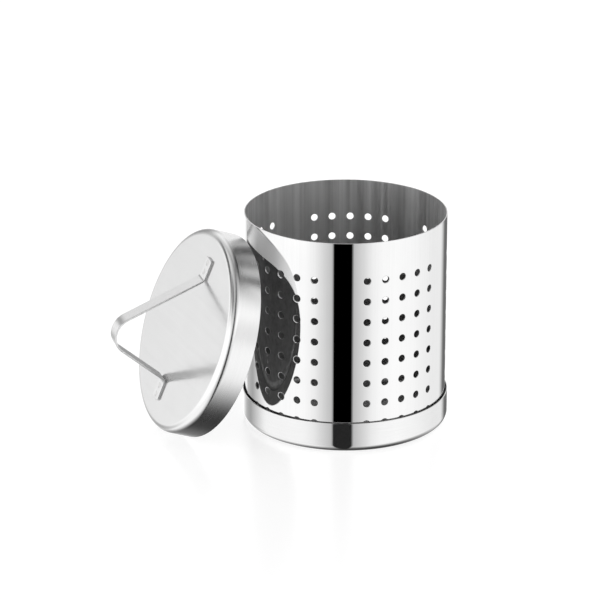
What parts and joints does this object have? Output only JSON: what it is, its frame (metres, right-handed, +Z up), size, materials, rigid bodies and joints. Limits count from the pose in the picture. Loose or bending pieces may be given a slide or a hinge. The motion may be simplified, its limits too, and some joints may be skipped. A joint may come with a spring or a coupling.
{
  "type": "perforated cheese mould",
  "caption": "Round perforated steel cheese mould standing in a loose base cap, with a lid pan with a strap handle leaning against it.",
  "frame": {"origin": "centre of the base cap's underside, on the table", "axes": "+Z up along the mould's axis; the lid leans on the -X side with its handle pointing to -X"},
  "size_m": [0.1896, 0.1264, 0.1205],
  "materials": {
    "cap_steel": "polished stainless steel",
    "wall_steel": "mirror-polished stainless steel outside, finely brushed inside",
    "lid_steel": "satin-polished stainless steel",
    "strap_steel": "polished stainless steel strip",
    "weld_steel": "ground stainless steel weld"
  },
  "bodies": {
    "base": {"base_cap": "cap_steel"},
    "mould": {"mould_wall": "wall_steel", "wall_seam_weld": "weld_steel"},
    "lid": {"lid_pan": "lid_steel", "lid_handle": "strap_steel", "handle_spot_welds": "weld_steel"}
  },
  "joints": [
    {"name": "mould_lift", "type": "slide", "parent": "base", "child": "mould", "axis": [0, 0, 1], "range_m": [0, 0.13]},
    {"name": "lid_lift", "type": "slide", "parent": "base", "child": "lid", "axis": [0, 0, 1], "range_m": [0, 0.14]}
  ]
}
